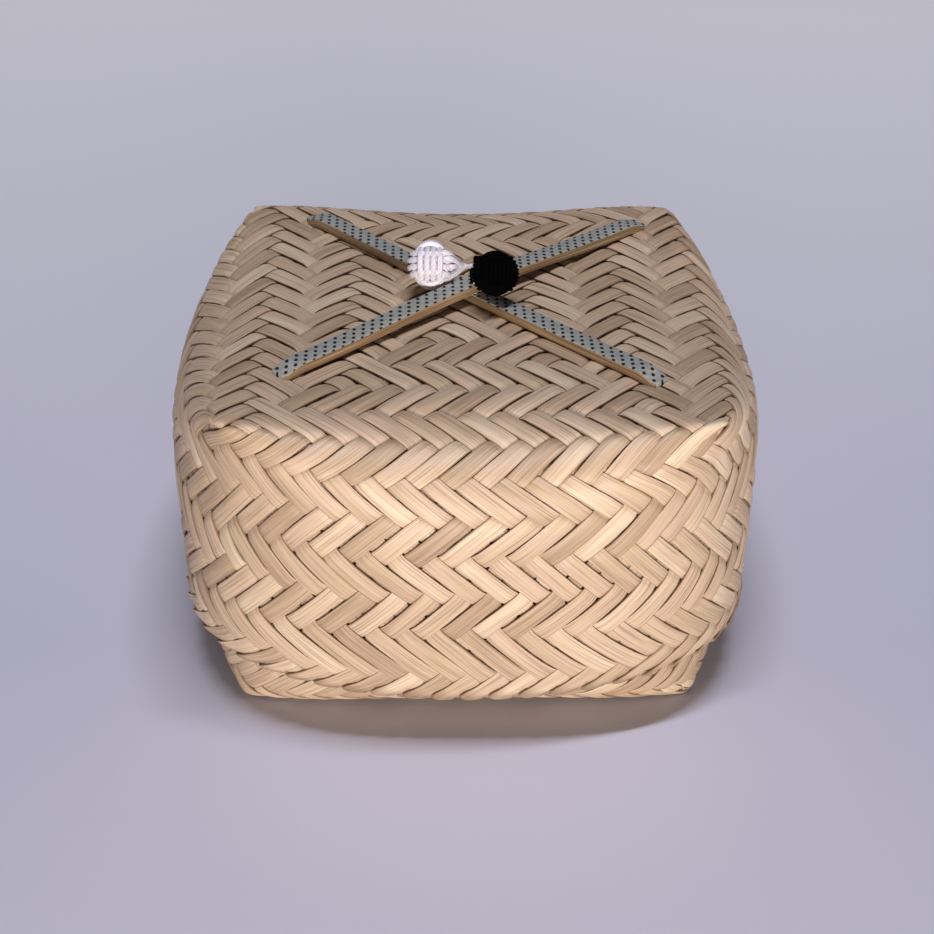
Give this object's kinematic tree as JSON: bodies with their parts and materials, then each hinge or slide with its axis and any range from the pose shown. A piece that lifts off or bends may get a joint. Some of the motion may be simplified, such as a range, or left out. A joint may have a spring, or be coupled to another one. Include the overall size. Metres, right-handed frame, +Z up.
{
  "type": "tea caddy",
  "caption": "Square lidded tea basket woven from bamboo splints, with a deep lift-off lid over its base, crossed ribbon-faced slats on top and corded knots tied at their crossing.",
  "frame": {"origin": "on the ground, under the middle of the base's flat floor", "axes": "+Z up, towards the lid; +X to the right along the front, +Y to the back"},
  "size_m": [0.2022, 0.2022, 0.1309],
  "materials": {
    "base_splints": "pale split bamboo, unvarnished, satin skin",
    "lid_splints": "pale split bamboo, unvarnished, satin skin",
    "core_bamboo": "split bamboo",
    "slat_bamboo": "planed bamboo",
    "dotted_ribbon": "grey woven ribbon with small black dots",
    "black_cord": "black braided cord",
    "white_cord": "white braided cord with a slight sheen",
    "bead_wood": "turned wood"
  },
  "bodies": {
    "base": {"base_basket": "base_splints", "base_rim_core": "core_bamboo"},
    "lid": {"lid_basket": "lid_splints", "lid_rim_core": "core_bamboo", "lower_slat": "slat_bamboo", "upper_slat": "slat_bamboo", "lower_tape": "dotted_ribbon", "upper_tape": "dotted_ribbon", "cross_lashing": "black_cord"},
    "white_knot": {"white_knot": "white_cord", "white_knot_bead": "bead_wood"},
    "black_knot": {"black_knot": "black_cord", "black_knot_bead": "bead_wood"}
  },
  "joints": [
    {"name": "lid_lift", "type": "slide", "parent": "base", "child": "lid", "axis": [0, 0, 1], "range_m": [0, 0.11]},
    {"name": "white_knot_lift", "type": "hinge", "parent": "lid", "child": "white_knot", "pos_m": [0.0026, 0.0067, 0.11704], "axis": [0, 1, 0], "range_deg": [0, 29]},
    {"name": "black_knot_lift", "type": "hinge", "parent": "lid", "child": "black_knot", "pos_m": [0.0026, 0.0067, 0.11704], "axis": [0, -1, 0], "range_deg": [0, 27]}
  ]
}
